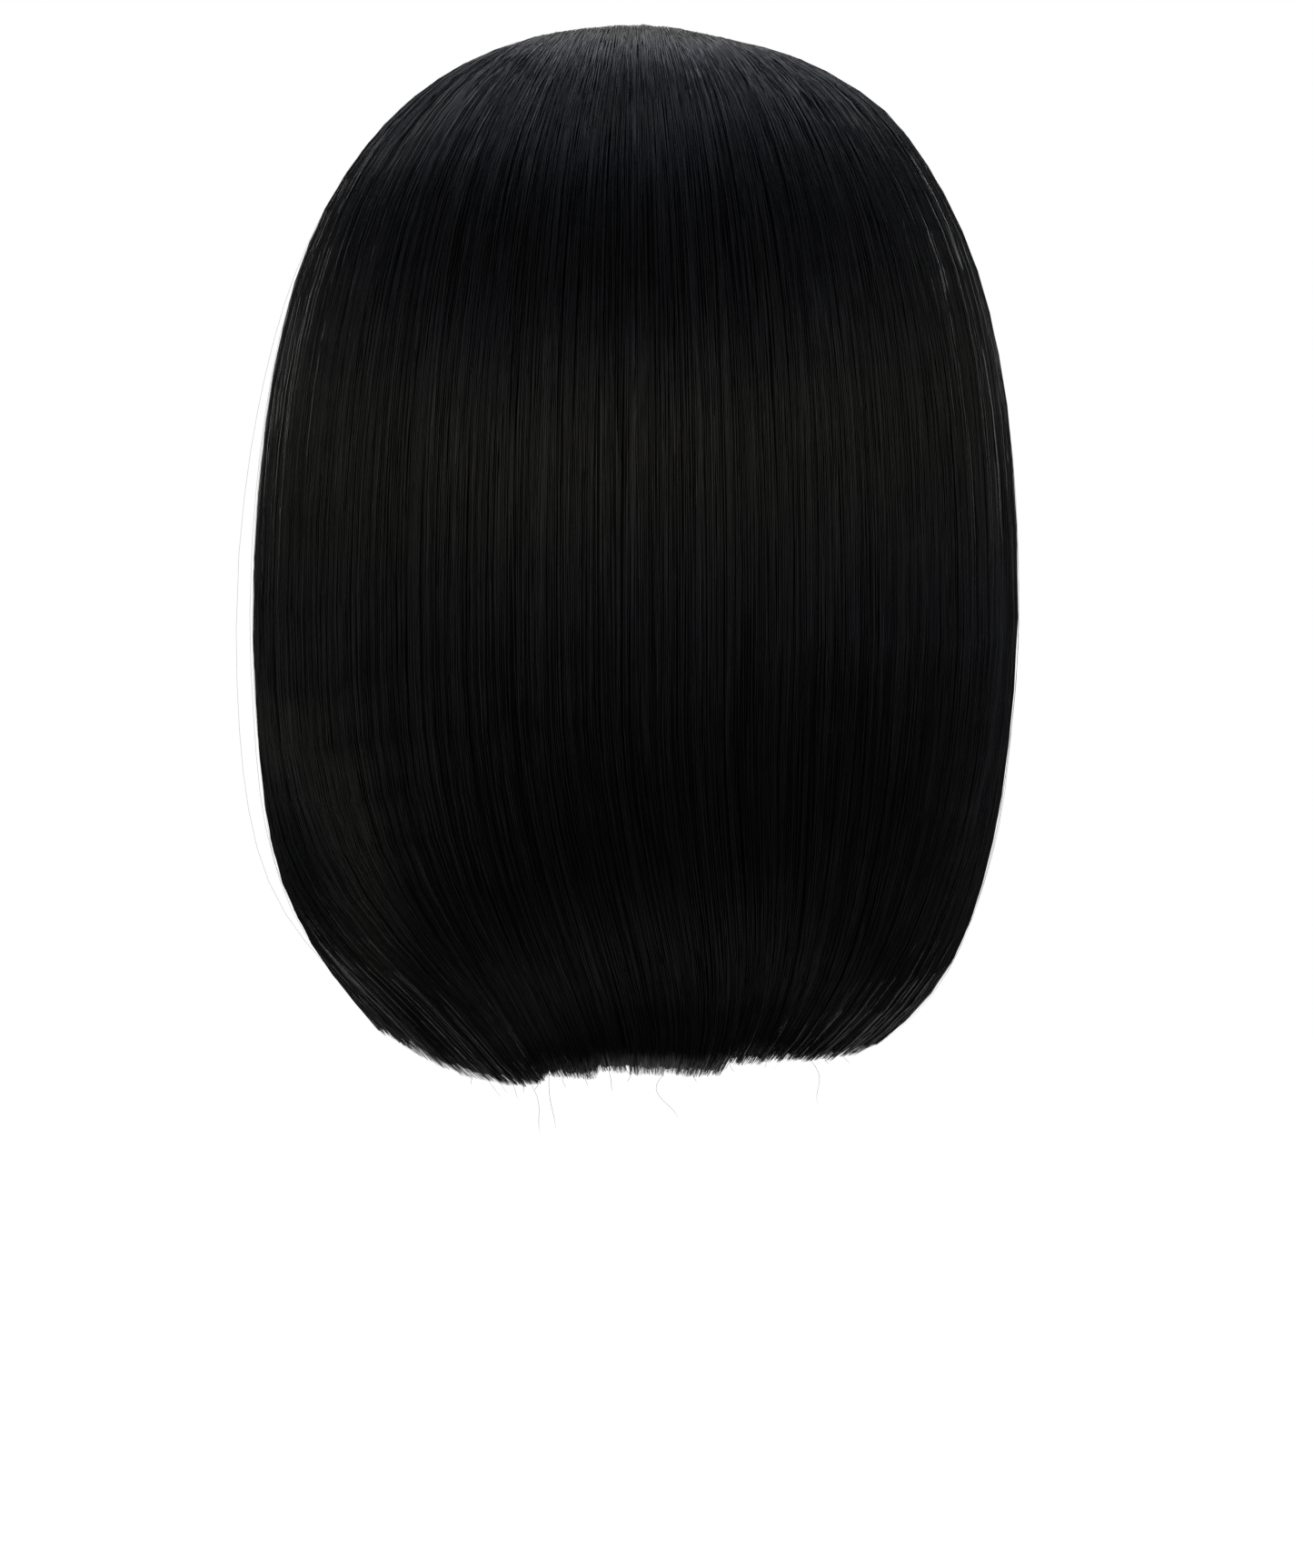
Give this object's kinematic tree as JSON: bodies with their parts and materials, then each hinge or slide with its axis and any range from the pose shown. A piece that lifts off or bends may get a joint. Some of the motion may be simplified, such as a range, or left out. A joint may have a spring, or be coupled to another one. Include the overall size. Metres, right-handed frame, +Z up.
{
  "type": "costume wig",
  "caption": "Short straight bob costume wig: layered hair on wefts, fringe and centre parting, on a net cap with ear tabs and hooked nape adjusters.",
  "frame": {"origin": "centre of the wearer's head at the brow line, where the cap seats", "axes": "+Z up the head, the wearer faces -Y, the wearer's left is +X"},
  "size_m": [0.2179, 0.2356, 0.2983],
  "materials": {
    "hair": "glossy straight synthetic fibre",
    "weft": "stitched thread",
    "net": "open stretch net",
    "ribbon": "woven ribbon",
    "strip": "skin-coloured woven strip",
    "elastic": "ribbed elastic",
    "stay": "smooth",
    "hook": "lacquered"
  },
  "bodies": {
    "cap": {"crown_net": "net", "parting_strip": "strip", "front_band": "ribbon", "nape_band": "ribbon", "crown_ribbon": "ribbon", "centre_ribbon": "ribbon", "left_inner_ribbon": "ribbon", "right_inner_ribbon": "ribbon", "left_outer_ribbon": "ribbon", "right_outer_ribbon": "ribbon", "left_ear_elastic": "elastic", "right_ear_elastic": "elastic", "left_adjuster_strap": "elastic", "right_adjuster_strap": "elastic", "left_loop_tape": "ribbon", "right_loop_tape": "ribbon", "left_loops": "elastic", "right_loops": "elastic", "crown_track": "weft", "fringe_track": "weft", "weft_track_1": "weft", "weft_track_2": "weft", "weft_track_3": "weft", "weft_track_4": "weft", "weft_track_5": "weft", "weft_track_6": "weft", "weft_track_7": "weft", "weft_track_8": "weft", "weft_hair_1": "hair", "weft_hair_2": "hair", "weft_hair_3": "hair", "weft_hair_4": "hair", "weft_hair_5": "hair", "weft_hair_6": "hair", "weft_hair_7": "hair", "weft_hair_8": "hair", "crown_hair_left": "hair", "crown_hair_right": "hair"},
    "left_tab": {"left_ear_tab": "ribbon", "left_ear_stay": "stay"},
    "right_tab": {"right_ear_tab": "ribbon", "right_ear_stay": "stay"},
    "left_hook": {"left_adjuster_hook": "hook"},
    "right_hook": {"right_adjuster_hook": "hook"},
    "back_sheet": {"back_hair": "hair"},
    "left_curtain": {"left_side_hair": "hair"},
    "right_curtain": {"right_side_hair": "hair"},
    "fringe_flap": {"fringe": "hair"}
  },
  "joints": [
    {"name": "left_adjuster_shift", "type": "hinge", "parent": "cap", "child": "left_hook", "pos_m": [-0.00871, 0.01446, -0.074], "axis": [0, 0, 1], "range_deg": [0, 17.01], "deforming": ["left_adjuster_strap", "left_loops"]},
    {"name": "right_adjuster_shift", "type": "hinge", "parent": "cap", "child": "right_hook", "pos_m": [0.00871, 0.01446, -0.074], "axis": [0, 0, -1], "range_deg": [0, 17.01], "deforming": ["right_adjuster_strap", "right_loops"]},
    {"name": "left_tab_bend", "type": "hinge", "parent": "cap", "child": "left_tab", "pos_m": [0.07598, 0, -0.0015], "axis": [0, -1, 0], "range_deg": [-30, 4]},
    {"name": "right_tab_bend", "type": "hinge", "parent": "cap", "child": "right_tab", "pos_m": [-0.07598, 0, -0.0015], "axis": [0, 1, 0], "range_deg": [-30, 4]},
    {"name": "fringe_lift", "type": "hinge", "parent": "cap", "child": "fringe_flap", "pos_m": [0, -0.09866, 0.05], "axis": [-1, 0, 0], "range_deg": [0, 45]},
    {"name": "left_curtain_swing", "type": "hinge", "parent": "cap", "child": "left_curtain", "pos_m": [0.10221, 0, 0.025], "axis": [0, -1, 0], "range_deg": [0, 20]},
    {"name": "right_curtain_swing", "type": "hinge", "parent": "cap", "child": "right_curtain", "pos_m": [-0.10221, 0, 0.025], "axis": [0, 1, 0], "range_deg": [0, 20]},
    {"name": "back_lift", "type": "hinge", "parent": "cap", "child": "back_sheet", "pos_m": [0, 0.11967, 0.01], "axis": [1, 0, 0], "range_deg": [0, 25]}
  ]
}
